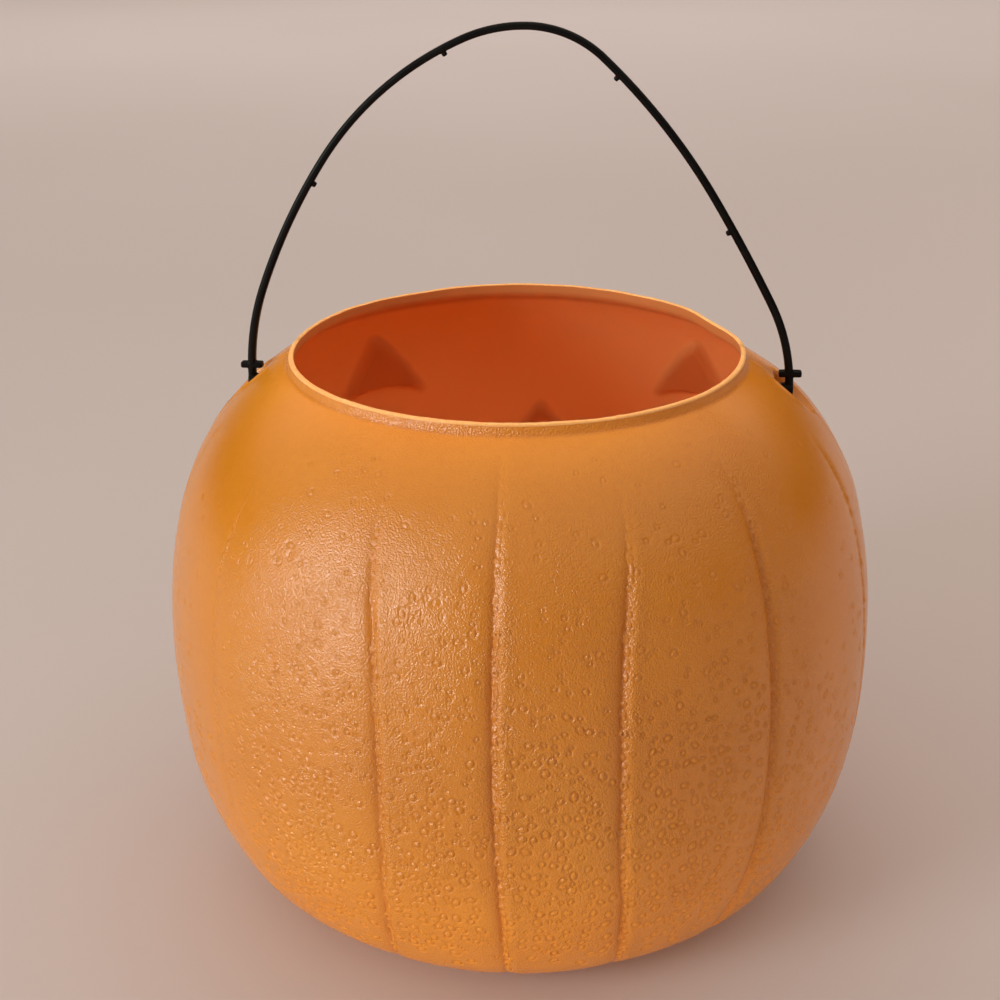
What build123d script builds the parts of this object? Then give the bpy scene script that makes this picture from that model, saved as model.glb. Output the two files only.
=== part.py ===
from build123d import *
import math
import os

# Pumpkin candy pail: a one-piece blow-moulded pail with a snap-in bail handle.
# Frame: +Z up, origin at the middle of the base, the carved face looks along -Y,
# the handle pivots on the X axis through the two shoulder pockets.
# All dimensions in millimetres.

# ---------------------------------------------------------------- driving dimensions
WALL = 1.5                     # moulded wall thickness
RIM_Z = 197.7                  # height of the trimmed lip
RIM_R = 78.8                   # outer radius of the lip
COLLAR_FOOT_R = 79.4           # where the short collar meets the shoulder
STAND_R = 81.81                # outer radius of the flat standing ring
STAND_INNER_R = 74.0           # inner radius of the standing ring
PUSH_UP_Z = 6.0                # height of the pushed-up base panel
PUSH_UP_R = 65.5               # radius of the pushed-up base panel
# body profile: tangent arcs from the standing ring to the collar (radius, turn in degrees)
PROFILE_ARCS = [
    (14.0, 24.0023),
    (65.751, 20.2),
    (30.0, 17.0),
    (113.0, 21.628),
    (238.376, 11.4093),
    (182.644, 11.4161),
    (79.095, 47.6395),
]

# carved face (recessed from outside, drawn along Y by the front half of the mould)
FACE_DEPTH = 3.0               # recess depth measured along the wall normal
PAINT = 0.25                   # paint film on the recess floor
PAINT_INSET = 0.35             # film edge to recess wall
EYE_TIP = (64.8, 174.0)
EYE_INNER = (50.5, 143.0)
EYE_ARCH = (65.0, 148.0)
EYE_OUTER = (79.5, 144.6)
NOSE_TIP_Z = 132.0
NOSE_BASE_Z = 108.0
NOSE_HALF = 16.5
NOSE_ARCH_Z = 111.0
MOUTH_HALF = 73.0
MOUTH_CORNER_Z = 100.0
MOUTH_TOP_Z = 73.0
MOUTH_BOTTOM_Z = 37.0
TOOTH_W = 17.0
TOOTH_DEEP = 14.0
TOOTH_X = 27.0

# handle pockets in the shoulder
PIVOT_Z = 183.0                # height of the pivot axis
POCKET_R = 7.5                 # radius of the round pocket
POCKET_X = 88.5                # outer face of the pocket's flat wall
PEG_R = 1.6                    # pivot peg
PEG_HOLE_R = 1.9

# handle
STRAP_T = 2.6                  # in the plane of the arch
STRAP_D = 3.4                  # along Y
STRAP_ROUND = 1.0
STRAP_X = 94.6                 # leg centre at the pivot
HANDLE_ARCS = [
    (92.436, 21.4673),
    (215.78, 13.2667),
    (110.887, 32.3088),
    (51.44, 23.7881),
    (37.582, 41.982),
    (220.202, 15.2307),
    (576.865, 4.0747),
    (66.739, 27.0417),
]
END_R = 2.6                    # rounded strap end around the peg
SHOULDER_R = 2.3               # spacer shoulder on the peg
BAR_IN, BAR_OUT = 90.5, 98.3   # crossbar ends along X
BAR_Z = 188.7
BAR_T = 2.1
HEAD_R = 2.8                   # snap head inside the pail
HEAD_L = 2.6
GAP = 0.3                      # working clearance
NUBS = [(68.1, 252.8), (22.5, 295.3), (-33.2, 287.8), (-71.4, 237.7)]
NUB_L, NUB_H, NUB_D = 1.7, 1.2, 2.2


def arc_chain(start, heading, arcs, offset=0.0):
    """Start, middle and end points of a chain of tangent left-hand arcs, moved inwards."""
    a = math.radians(heading)
    x, y = start[0] - offset * math.sin(a), start[1] + offset * math.cos(a)
    runs = []
    for radius, turn in arcs:
        t, r = math.radians(turn), radius - offset
        cx, cy = x - r * math.sin(a), y + r * math.cos(a)
        pts = [(x, y)]
        for f in (0.5, 1.0):
            pts.append((cx + r * math.sin(a + t * f), cy - r * math.cos(a + t * f)))
        runs.append(pts)
        (x, y), a = pts[-1], a + t
    return runs, math.degrees(a)


def outline(offset):
    """Half outline of the pail moved inwards by offset, as arc runs and the end heading."""
    return arc_chain((STAND_R, 0.0), 0.0, PROFILE_ARCS, offset)


def draw_body(offset, top_r, top_z):
    """Closed half profile in the XZ plane for revolving."""
    runs, heading = outline(offset)
    end = runs[-1][-1]
    h = math.radians(heading)
    # carry the shoulder on along its end tangent to the collar
    foot = (top_r, end[1] + (top_r - end[0]) * math.tan(h)) if offset else (COLLAR_FOOT_R, end[1])
    shift = offset * 0.5
    pts = [(0, PUSH_UP_Z + offset), (PUSH_UP_R + shift, PUSH_UP_Z + offset),
           (STAND_INNER_R + shift, offset), runs[0][0]]
    Polyline(*pts)
    for p in runs:
        ThreePointArc(*p)
    Polyline(end, foot, (top_r, top_z), (0, top_z), pts[0])


# ---------------------------------------------------------------- helper solids
with BuildPart() as body_outer:
    with BuildSketch(Plane.XZ):
        with BuildLine():
            draw_body(0.0, RIM_R, RIM_Z)
        make_face()
    revolve(axis=Axis.Z)

with BuildPart() as body_inner:
    with BuildSketch(Plane.XZ):
        with BuildLine():
            draw_body(WALL, RIM_R - WALL, RIM_Z + 3)
        make_face()
    revolve(axis=Axis.Z)

with BuildPart() as recess_floor:
    with BuildSketch(Plane.XZ):
        with BuildLine():
            draw_body(FACE_DEPTH, RIM_R - FACE_DEPTH, RIM_Z + 3)
        make_face()
    revolve(axis=Axis.Z)

with BuildPart() as paint_top:
    with BuildSketch(Plane.XZ):
        with BuildLine():
            draw_body(FACE_DEPTH - PAINT, RIM_R - FACE_DEPTH, RIM_Z + 3)
        make_face()
    revolve(axis=Axis.Z)

with BuildPart() as recess_back:
    with BuildSketch(Plane.XZ):
        with BuildLine():
            draw_body(FACE_DEPTH + WALL, RIM_R - FACE_DEPTH - WALL, RIM_Z + 3)
        make_face()
    revolve(axis=Axis.Z)

# face sketches on a plane seen from the front: sketch x = X, sketch y = Z
FACE_PLANE = Plane(origin=(0, 0, 0), x_dir=(1, 0, 0), z_dir=(0, -1, 0))

with BuildSketch(FACE_PLANE) as eye_shape:
    with BuildLine():
        Line(EYE_INNER, EYE_TIP)
        Line(EYE_TIP, EYE_OUTER)
        ThreePointArc(EYE_OUTER, EYE_ARCH, EYE_INNER)
    make_face()
    fillet(eye_shape.vertices(), 2.0)

with BuildSketch(FACE_PLANE) as nose_shape:
    with BuildLine():
        Line((-NOSE_HALF, NOSE_BASE_Z), (0, NOSE_TIP_Z))
        Line((0, NOSE_TIP_Z), (NOSE_HALF, NOSE_BASE_Z))
        ThreePointArc((NOSE_HALF, NOSE_BASE_Z), (0, NOSE_ARCH_Z), (-NOSE_HALF, NOSE_BASE_Z))
    make_face()
    fillet(nose_shape.vertices(), 2.0)

with BuildSketch(FACE_PLANE) as mouth_shape:
    with BuildLine():
        ThreePointArc((-MOUTH_HALF, MOUTH_CORNER_Z), (0, MOUTH_TOP_Z), (MOUTH_HALF, MOUTH_CORNER_Z))
        ThreePointArc((MOUTH_HALF, MOUTH_CORNER_Z), (0, MOUTH_BOTTOM_Z), (-MOUTH_HALF, MOUTH_CORNER_Z))
    make_face()
    with Locations((-TOOTH_X, MOUTH_TOP_Z + 3.6), (TOOTH_X, MOUTH_TOP_Z + 3.6)):
        Rectangle(TOOTH_W, 2 * TOOTH_DEEP, mode=Mode.SUBTRACT)
    with Locations((0, MOUTH_BOTTOM_Z)):
        Rectangle(TOOTH_W + 2, 2 * TOOTH_DEEP, mode=Mode.SUBTRACT)
    fillet(mouth_shape.vertices(), 1.6)

FACE_FAR = 60.0                # the face cutters start here and run out past the wall
FACE_OUT = 80.0

with BuildPart() as face_cut:
    with BuildSketch(FACE_PLANE.offset(FACE_FAR)):
        add(eye_shape.sketch_local)
        mirror(about=Plane.YZ)
        add(nose_shape.sketch_local)
        add(mouth_shape.sketch_local)
    extrude(amount=FACE_OUT)
    add(recess_floor.part, mode=Mode.SUBTRACT)

with BuildPart() as face_boss:
    with BuildSketch(FACE_PLANE.offset(FACE_FAR)):
        add(eye_shape.sketch_local)
        mirror(about=Plane.YZ)
        add(nose_shape.sketch_local)
        add(mouth_shape.sketch_local)
        offset(amount=WALL)
    extrude(amount=FACE_OUT)
    add(recess_back.part, mode=Mode.SUBTRACT)
    add(body_outer.part, mode=Mode.INTERSECT)

# cups pressed into the shoulders for the handle ends, before they are hollowed
with BuildPart() as cups:
    for side in (1, -1):
        with BuildSketch(Plane(origin=(side * (POCKET_X - WALL), 0, PIVOT_Z),
                               x_dir=(0, 1, 0), z_dir=(side, 0, 0))):
            Circle(POCKET_R + WALL)
        extrude(amount=30)
    add(body_outer.part, mode=Mode.INTERSECT)

# ---------------------------------------------------------------- pail shell
with BuildPart() as pail_shell:
    add(body_outer.part)
    add(body_inner.part, mode=Mode.SUBTRACT)
    # walls around the carved face, then the carving itself
    add(face_boss.part)
    add(face_cut.part, mode=Mode.SUBTRACT)
    # handle pockets: each cup is hollowed and its flat wall drilled for the peg
    add(cups.part)
    for side in (1, -1):
        wall_plane = Plane(origin=(side * (POCKET_X - WALL), 0, PIVOT_Z),
                           x_dir=(0, 1, 0), z_dir=(side, 0, 0))
        with BuildSketch(wall_plane.offset(WALL)):
            Circle(POCKET_R)
        extrude(amount=40, mode=Mode.SUBTRACT)
        with BuildSketch(wall_plane.offset(-1)):
            Circle(PEG_HOLE_R)
        extrude(amount=WALL + 2, mode=Mode.SUBTRACT)

# ---------------------------------------------------------------- paint in the carved face
with BuildPart() as left_eye_paint:
    with BuildSketch(FACE_PLANE.offset(FACE_FAR)):
        add(eye_shape.sketch_local)
        offset(amount=-PAINT_INSET, mode=Mode.REPLACE)
    extrude(amount=FACE_OUT)
    add(recess_floor.part, mode=Mode.SUBTRACT)
    add(paint_top.part, mode=Mode.INTERSECT)

with BuildPart() as right_eye_paint:
    add(mirror(left_eye_paint.part, about=Plane.YZ, mode=Mode.PRIVATE))

with BuildPart() as nose_paint:
    with BuildSketch(FACE_PLANE.offset(FACE_FAR)):
        add(nose_shape.sketch_local)
        offset(amount=-PAINT_INSET, mode=Mode.REPLACE)
    extrude(amount=FACE_OUT)
    add(recess_floor.part, mode=Mode.SUBTRACT)
    add(paint_top.part, mode=Mode.INTERSECT)

with BuildPart() as mouth_paint:
    with BuildSketch(FACE_PLANE.offset(FACE_FAR)):
        add(mouth_shape.sketch_local)
        offset(amount=-PAINT_INSET, mode=Mode.REPLACE)
    extrude(amount=FACE_OUT)
    add(recess_floor.part, mode=Mode.SUBTRACT)
    add(paint_top.part, mode=Mode.INTERSECT)

# ---------------------------------------------------------------- handle
handle_runs, _ = arc_chain((STRAP_X, PIVOT_Z), 90.0, HANDLE_ARCS)
ARCH_PLANE = Plane(origin=(0, 0, 0), x_dir=(1, 0, 0), z_dir=(0, -1, 0))
end_x = handle_runs[-1][-1][0]


def arch_point(px, pz):
    """Nearest point of the arch to (px, pz), with the heading there."""
    best = None
    a = 90.0
    for (radius, turn), run in zip(HANDLE_ARCS, handle_runs):
        sx, sy = run[0]
        ar = math.radians(a)
        cx, cy = sx - radius * math.sin(ar), sy + radius * math.cos(ar)
        for i in range(41):
            t = ar + math.radians(turn) * i / 40
            q = (cx + radius * math.sin(t), cy - radius * math.cos(t))
            d = math.hypot(q[0] - px, q[1] - pz)
            if best is None or d < best[0]:
                best = (d, q, t)
        a += turn
    return best[1], best[2]


with BuildPart() as handle:
    with BuildLine(ARCH_PLANE) as arch:
        for p in handle_runs:
            ThreePointArc(*p)
    with BuildSketch(Plane(origin=(STRAP_X, 0, PIVOT_Z), x_dir=(1, 0, 0), z_dir=(0, 0, 1))):
        RectangleRounded(STRAP_T, STRAP_D, STRAP_ROUND)
    sweep(path=arch.wire())
    for side, leg_x in ((1, STRAP_X), (-1, -end_x)):
        def at(x):
            return Plane(origin=(side * x, 0, PIVOT_Z), x_dir=(0, 1, 0), z_dir=(-side, 0, 0))
        # rounded end of the strap
        with BuildSketch(at(leg_x + STRAP_T / 2)):
            Circle(END_R)
        extrude(amount=STRAP_T)
        # spacer shoulder, peg and snap head, pointing inwards
        with BuildSketch(at(leg_x)):
            Circle(SHOULDER_R)
        extrude(amount=leg_x - POCKET_X - GAP)
        with BuildSketch(at(leg_x)):
            Circle(PEG_R)
        extrude(amount=leg_x - (POCKET_X - WALL - GAP) + 0.5)
        with BuildSketch(at(POCKET_X - WALL - GAP)) as head_base:
            Circle(HEAD_R)
        with BuildSketch(at(POCKET_X - WALL - GAP - HEAD_L)) as head_tip:
            Circle(1.1)
        loft(sections=[head_base.sketch, head_tip.sketch])
        # crossbar over the pocket
        bar_mid = Plane(origin=(side * (BAR_IN + BAR_OUT) / 2, 0, BAR_Z))
        with BuildSketch(bar_mid.offset(-BAR_T / 2)):
            RectangleRounded(BAR_OUT - BAR_IN, STRAP_D, 0.9)
        extrude(amount=BAR_T)
    # moulding nubs on the inner edge
    for nx, nz in NUBS:
        (qx, qz), t = arch_point(nx, nz)
        inward = (-math.sin(t), 0, math.cos(t))
        foot = (qx + inward[0] * (STRAP_T / 2 - 0.3), 0, qz + inward[2] * (STRAP_T / 2 - 0.3))
        with BuildSketch(Plane(origin=foot, x_dir=(0, 1, 0), z_dir=inward)):
            RectangleRounded(NUB_D, NUB_L, 0.5)
        extrude(amount=NUB_H + 0.3)

# ---------------------------------------------------------------- write the pieces
os.makedirs("parts", exist_ok=True)
pail_shell.part.label = "pail_shell"
left_eye_paint.part.label = "left_eye_paint"
right_eye_paint.part.label = "right_eye_paint"
nose_paint.part.label = "nose_paint"
mouth_paint.part.label = "mouth_paint"
handle.part.label = "handle"
export_step(pail_shell.part, "parts/pail_shell.step")
export_step(left_eye_paint.part, "parts/left_eye_paint.step")
export_step(right_eye_paint.part, "parts/right_eye_paint.step")
export_step(nose_paint.part, "parts/nose_paint.step")
export_step(mouth_paint.part, "parts/mouth_paint.step")
export_step(handle.part, "parts/handle.step")
for piece in (pail_shell, left_eye_paint, right_eye_paint, nose_paint, mouth_paint, handle):
    print(piece.part.label, "solids", len(piece.part.solids()), "volume", round(piece.part.volume, 2))
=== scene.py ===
"""Pumpkin candy pail: the visual model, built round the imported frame. Lengths below are millimetres until the mesh is made."""
import math

import bpy
import numpy as np
from mathutils import Matrix, Vector


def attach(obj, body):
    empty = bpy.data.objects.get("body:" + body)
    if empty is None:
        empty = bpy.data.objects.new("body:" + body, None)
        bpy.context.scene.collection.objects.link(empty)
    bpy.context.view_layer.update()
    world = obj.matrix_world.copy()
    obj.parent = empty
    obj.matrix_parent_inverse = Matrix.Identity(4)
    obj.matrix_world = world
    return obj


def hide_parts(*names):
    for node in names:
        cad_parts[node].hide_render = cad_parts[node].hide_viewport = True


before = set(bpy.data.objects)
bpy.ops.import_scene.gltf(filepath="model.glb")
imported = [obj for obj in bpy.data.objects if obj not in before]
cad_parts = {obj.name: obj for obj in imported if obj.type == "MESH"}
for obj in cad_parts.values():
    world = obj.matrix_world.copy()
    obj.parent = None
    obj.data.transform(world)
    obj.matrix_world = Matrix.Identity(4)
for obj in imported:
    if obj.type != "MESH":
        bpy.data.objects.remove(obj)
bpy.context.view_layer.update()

MM = 0.001
SEED = 41

# ------------------------------------------------------------------ dimensions
WALL = 1.5
RIM_Z, RIM_R, COLLAR_FOOT_R = 197.7, 78.8, 79.4
STAND_R, STAND_INNER_R, PUSH_UP_R, PUSH_UP_Z = 81.81, 74.0, 65.5, 6.0
PROFILE_ARCS = [(14.0, 24.0023), (65.751, 20.2), (30.0, 17.0), (113.0, 21.628),
                (238.376, 11.4093), (182.644, 11.4161), (79.095, 47.6395)]
FACE_DEPTH = 3.0
EYE_TIP, EYE_INNER, EYE_ARCH, EYE_OUTER = (64.8, 174.0), (50.5, 143.0), (65.0, 148.0), (79.5, 144.6)
NOSE_TIP_Z, NOSE_BASE_Z, NOSE_HALF, NOSE_ARCH_Z = 132.0, 108.0, 16.5, 111.0
MOUTH_HALF, MOUTH_CORNER_Z, MOUTH_TOP_Z, MOUTH_BOTTOM_Z = 73.0, 100.0, 73.0, 37.0
TOOTH_X, TOOTH_W, TOOTH_DEEP = 27.0, 17.0, 14.0
PIVOT_Z, POCKET_R, POCKET_X = 183.0, 7.5, 88.5
PEG_R, SHOULDER_R, END_R, HEAD_R, HEAD_L, GAP = 1.6, 2.3, 2.6, 2.8, 2.6, 0.3
STRAP_T, STRAP_D, STRAP_ROUND, STRAP_X = 2.6, 3.4, 1.0, 94.6
BAR_IN, BAR_OUT, BAR_Z, BAR_T = 90.5, 98.3, 188.7, 2.1
HANDLE_ARCS = [(92.436, 21.4673), (215.78, 13.2667), (110.887, 32.3088), (51.44, 23.7881),
               (37.582, 41.982), (220.202, 15.2307), (576.865, 4.0747), (66.739, 27.0417)]
NUBS = [(68.1, 252.8), (22.5, 295.3), (-33.2, 287.8), (-71.4, 237.7)]
NUB_L, NUB_H, NUB_D = 1.7, 1.2, 2.2

# grooves between the ribs: (height, degrees from the back towards +X) pairs, depth, top and bottom of the fade
GROOVES = [
    ([(4, -2.7), (22, -2.3), (66, -1.6), (116, -1.1), (157, -1.4), (193, -1.7)], 1.60, 201.0, 140.0),
    ([(4, 18.8), (23, 17.3), (56, 15.3), (97, 15.0), (131, 15.6), (154, 16.7), (175, 19.3)], 1.32, 186.0, 151.0),
    ([(4, -22.5), (28, -21.0), (75, -18.9), (127, -18.9), (158, -20.7), (176, -23.3)], 1.45, 186.0, 140.0),
    ([(4, -41.4), (34, -42.6), (73, -43.6), (103, -43.9), (124, -44.1), (169, -44.7), (186, -45.7)], 1.40, 191.0, 155.0),
    ([(4, 44.5), (55, 46.1), (106, 46.8), (130, 48.0), (153, 48.1), (167, 47.4)], 0.30, 178.0, 158.0),
    ([(4, -73.5), (47, -75.0), (129, -75.5), (177, -76.0)], 0.45, 179.0, 163.0),
    ([(4, 73.5), (47, 75.0), (129, 75.5), (177, 76.0)], 0.40, 179.0, 163.0),
    ([(4, 103.0), (47, 105.0), (129, 105.5), (177, 105.0)], 0.7, 181.0, 167.0),
    ([(4, -103.0), (47, -105.0), (129, -105.5), (177, -105.0)], 0.7, 181.0, 167.0),
    ([(4, 137.5), (47, 136.0), (129, 135.0), (185, 134.0)], 0.9, 190.0, 179.0),
    ([(4, -137.5), (47, -136.0), (129, -135.0), (185, -134.0)], 0.9, 190.0, 179.0),
    ([(4, 161.0), (47, 162.5), (129, 163.0), (179, 161.5)], 0.85, 183.0, 170.0),
    ([(4, -161.0), (47, -162.5), (129, -163.0), (179, -161.5)], 0.85, 183.0, 170.0),
    ([(4, 180.0), (193, 180.0)], 0.95, 196.0, 193.0),
]


# ------------------------------------------------------------------ small maths helpers
def smooth(x):
    x = np.clip(x, 0.0, 1.0)
    return x * x * (3.0 - 2.0 * x)


def chain(start, heading, arcs):
    """Left-hand arcs as rows of (start length, x, y, heading, radius), with the whole length."""
    segs, (x, y), a, s = [], start, math.radians(heading), 0.0
    for radius, turn in arcs:
        segs.append((s, x, y, a, radius))
        t = math.radians(turn)
        x += radius * (math.sin(a + t) - math.sin(a))
        y += radius * (math.cos(a) - math.cos(a + t))
        a, s = a + t, s + radius * t
    return np.array(segs), s


def along(segs, s, inset=0.0):
    """Points and headings at lengths s, moved to the left by inset."""
    s = np.asarray(s, float)
    g = segs[np.clip(np.searchsorted(segs[:, 0], s, "right") - 1, 0, len(segs) - 1)]
    h = g[:, 3] + (s - g[:, 0]) / g[:, 4]
    x = g[:, 1] + g[:, 4] * (np.sin(h) - np.sin(g[:, 3])) - inset * np.sin(h)
    y = g[:, 2] + g[:, 4] * (np.cos(g[:, 3]) - np.cos(h)) + inset * np.cos(h)
    return x, y, h


def bent(z, zs, az):
    """A smooth line through (height, degrees) pairs."""
    z = np.asarray(z, float)
    return sum(np.interp(z + d, zs, az) for d in (-16.0, -10.0, -5.0, 0.0, 5.0, 10.0, 16.0)) / 7.0


def noise3(p, seed):
    """Gradient noise at points p of shape (..., 3), about -1 to 1."""
    base = np.floor(p)
    f = p - base
    base = base.astype(np.int64)
    u = f * f * f * (f * (f * 6.0 - 15.0) + 10.0)
    out = 0.0
    for dx in (0, 1):
        wx = u[..., 0] if dx else 1.0 - u[..., 0]
        for dy in (0, 1):
            wy = u[..., 1] if dy else 1.0 - u[..., 1]
            for dz in (0, 1):
                wz = u[..., 2] if dz else 1.0 - u[..., 2]
                h = ((base[..., 0] + dx) * 73856093) ^ ((base[..., 1] + dy) * 19349663) ^ ((base[..., 2] + dz) * 83492791)
                h = (h ^ (seed * 2654435761)) & 0x7FFFFFFF
                h = ((h ^ (h >> 15)) * 739982445) & 0x7FFFFFFF
                h = ((h ^ (h >> 12)) * 695872825) & 0x7FFFFFFF
                a = (h & 0xFFFF) * (2.0 * math.pi / 65536.0)
                c = ((h >> 16) & 0x3FFF) * (2.0 / 16384.0) - 1.0
                q = np.sqrt(np.maximum(0.0, 1.0 - c * c))
                out = out + wx * wy * wz * (q * np.cos(a) * (f[..., 0] - dx) + q * np.sin(a) * (f[..., 1] - dy) + c * (f[..., 2] - dz))
    return out * 1.5


def arc3(a, m, b, n=24):
    """Points from a to b on the circle through m."""
    (ax, ay), (bx, by), (cx, cy) = a, m, b
    d = 2.0 * (ax * (by - cy) + bx * (cy - ay) + cx * (ay - by))
    ux = ((ax * ax + ay * ay) * (by - cy) + (bx * bx + by * by) * (cy - ay) + (cx * cx + cy * cy) * (ay - by)) / d
    uy = ((ax * ax + ay * ay) * (cx - bx) + (bx * bx + by * by) * (ax - cx) + (cx * cx + cy * cy) * (bx - ax)) / d
    r = math.hypot(ax - ux, ay - uy)
    t0, tm, t1 = (math.atan2(y - uy, x - ux) for x, y in (a, m, b))
    span = (t1 - t0) % (2 * math.pi)
    if (tm - t0) % (2 * math.pi) > span:
        span -= 2 * math.pi
    return [(ux + r * math.cos(t0 + span * i / n), uy + r * math.sin(t0 + span * i / n)) for i in range(n + 1)]


def signed_distance(poly, gx, gz):
    """Distance to a closed polygon on grid points, negative inside."""
    best = np.full(gx.shape, 1e9)
    inside = np.zeros(gx.shape, bool)
    n = len(poly)
    for i in range(n):
        (x0, z0), (x1, z1) = poly[i], poly[(i + 1) % n]
        ex, ez = x1 - x0, z1 - z0
        ll = ex * ex + ez * ez
        if ll < 1e-9:
            continue
        t = np.clip(((gx - x0) * ex + (gz - z0) * ez) / ll, 0.0, 1.0)
        best = np.minimum(best, (gx - x0 - t * ex) ** 2 + (gz - z0 - t * ez) ** 2)
        if z0 != z1:
            cross = ((z0 > gz) != (z1 > gz)) & (gx < ex * (gz - z0) / ez + x0)
            inside ^= cross
    best = np.sqrt(best)
    return np.where(inside, -best, best)


def blur(a, sigma):
    k = np.arange(-int(3 * sigma + 1), int(3 * sigma + 1) + 1)
    w = np.exp(-0.5 * (k / sigma) ** 2)
    w /= w.sum()
    m = len(k) // 2
    p = np.pad(a, m, mode="edge")
    p = np.apply_along_axis(lambda v: np.convolve(v, w, "valid"), 0, p)
    return np.apply_along_axis(lambda v: np.convolve(v, w, "valid"), 1, p)


# ------------------------------------------------------------------ carved face, as distance maps over X and Z
FX0, FZ0, FSTEP = -92.0, 23.0, 0.5
gx, gz = np.meshgrid(FX0 + FSTEP * np.arange(369), FZ0 + FSTEP * np.arange(325))
eye = [EYE_INNER, EYE_TIP] + arc3(EYE_OUTER, EYE_ARCH, EYE_INNER)[:-1]
nose = [(-NOSE_HALF, NOSE_BASE_Z), (0.0, NOSE_TIP_Z)] + arc3((NOSE_HALF, NOSE_BASE_Z), (0, NOSE_ARCH_Z), (-NOSE_HALF, NOSE_BASE_Z))[:-1]
mouth = arc3((-MOUTH_HALF, MOUTH_CORNER_Z), (0, MOUTH_TOP_Z), (MOUTH_HALF, MOUTH_CORNER_Z), 40)[:-1]
mouth += arc3((MOUTH_HALF, MOUTH_CORNER_Z), (0, MOUTH_BOTTOM_Z), (-MOUTH_HALF, MOUTH_CORNER_Z), 40)[:-1]


def tooth(cx, cz, w, h):
    return [(cx - w / 2, cz - h / 2), (cx + w / 2, cz - h / 2), (cx + w / 2, cz + h / 2), (cx - w / 2, cz + h / 2)]


d_mouth = signed_distance(mouth, gx, gz)
for block in (tooth(-TOOTH_X, MOUTH_TOP_Z + 3.6, TOOTH_W, 2 * TOOTH_DEEP), tooth(TOOTH_X, MOUTH_TOP_Z + 3.6, TOOTH_W, 2 * TOOTH_DEEP),
              tooth(0, MOUTH_BOTTOM_Z, TOOTH_W + 2, 2 * TOOTH_DEEP)):
    d_mouth = np.maximum(d_mouth, -signed_distance(block, gx, gz))
d_eye = signed_distance(eye, gx, gz)
FACE = {"left_eye_paint": d_eye, "right_eye_paint": d_eye[:, ::-1], "nose_paint": signed_distance(nose, gx, gz), "mouth_paint": d_mouth}
FACE = {name: blur(d, 2.4) for name, d in FACE.items()}


def look_up(grid, x, z):
    """Bilinear value of a face map at X and Z."""
    i = np.clip((x - FX0) / FSTEP, 0, grid.shape[1] - 1.001)
    j = np.clip((z - FZ0) / FSTEP, 0, grid.shape[0] - 1.001)
    i0, j0 = i.astype(int), j.astype(int)
    fi, fj = i - i0, j - j0
    return ((grid[j0, i0] * (1 - fi) + grid[j0, i0 + 1] * fi) * (1 - fj)
            + (grid[j0 + 1, i0] * (1 - fi) + grid[j0 + 1, i0 + 1] * fi) * fj)


def face_distance(x, y, z, grid):
    d = look_up(grid, x, z)
    # past the map's edge, or on the back half, the carving is far away
    return np.where((y < 0) & (np.abs(x) < 90) & (z > 25) & (z < 183), d, 50.0)


# ------------------------------------------------------------------ shell: the grid's columns
N = 1776                       # columns of the outer wall; the inside has half as many
fine = np.linspace(-180.0, 180.0, 14401)
gap = np.full(fine.shape, 0.42)
back = smooth((fine + 92) / 8) * smooth((74 - fine) / 8)
gap = gap * (1 - back) + 0.148 * back
for side in (-90.0, 90.0):
    near = smooth((13.0 - np.abs(fine - side)) / 4.0)
    gap = gap * (1 - near) + 0.155 * near
cum = np.concatenate([[0.0], np.cumsum(0.5 * (1 / gap[1:] + 1 / gap[:-1]) * np.diff(fine))])
cum *= N / cum[-1]
start = np.interp(90.0, fine, cum)                      # the first column is on the parting line at +X
at = (start - np.floor(start) + np.arange(N) + np.floor(start)) % N
AZ = np.interp(at, cum, fine)
AZ = np.concatenate([AZ[AZ >= 90.0 - 1e-6], AZ[AZ < 90.0 - 1e-6]])
TURN = np.where(AZ >= 90.0 - 1e-6, AZ - 90.0, AZ + 270.0) / 360.0      # 0 to 1 round the pail from +X
SIN, COS = np.sin(np.radians(AZ)), np.cos(np.radians(AZ))

# ------------------------------------------------------------------ shell: the outer wall's rows
outer, S_END = chain((STAND_R, 0.0), 0.0, PROFILE_ARCS)
S_TOP = S_END - 1.3
dense = np.linspace(0.0, S_TOP, 5000)
_, dz, _ = along(outer, dense)
space = 0.37 + 0.45 * smooth((14 - dense) / 8)
cum = np.concatenate([[0.0], np.cumsum(0.5 * (1 / space[1:] + 1 / space[:-1]) * np.diff(dense))])
ROWS = int(cum[-1])
S_WALL = np.interp(np.linspace(0, cum[-1], ROWS + 1), cum, dense)
r_w, z_w, h_w = along(outer, S_WALL)
nr_w, nz_w = np.sin(h_w), -np.cos(h_w)


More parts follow.
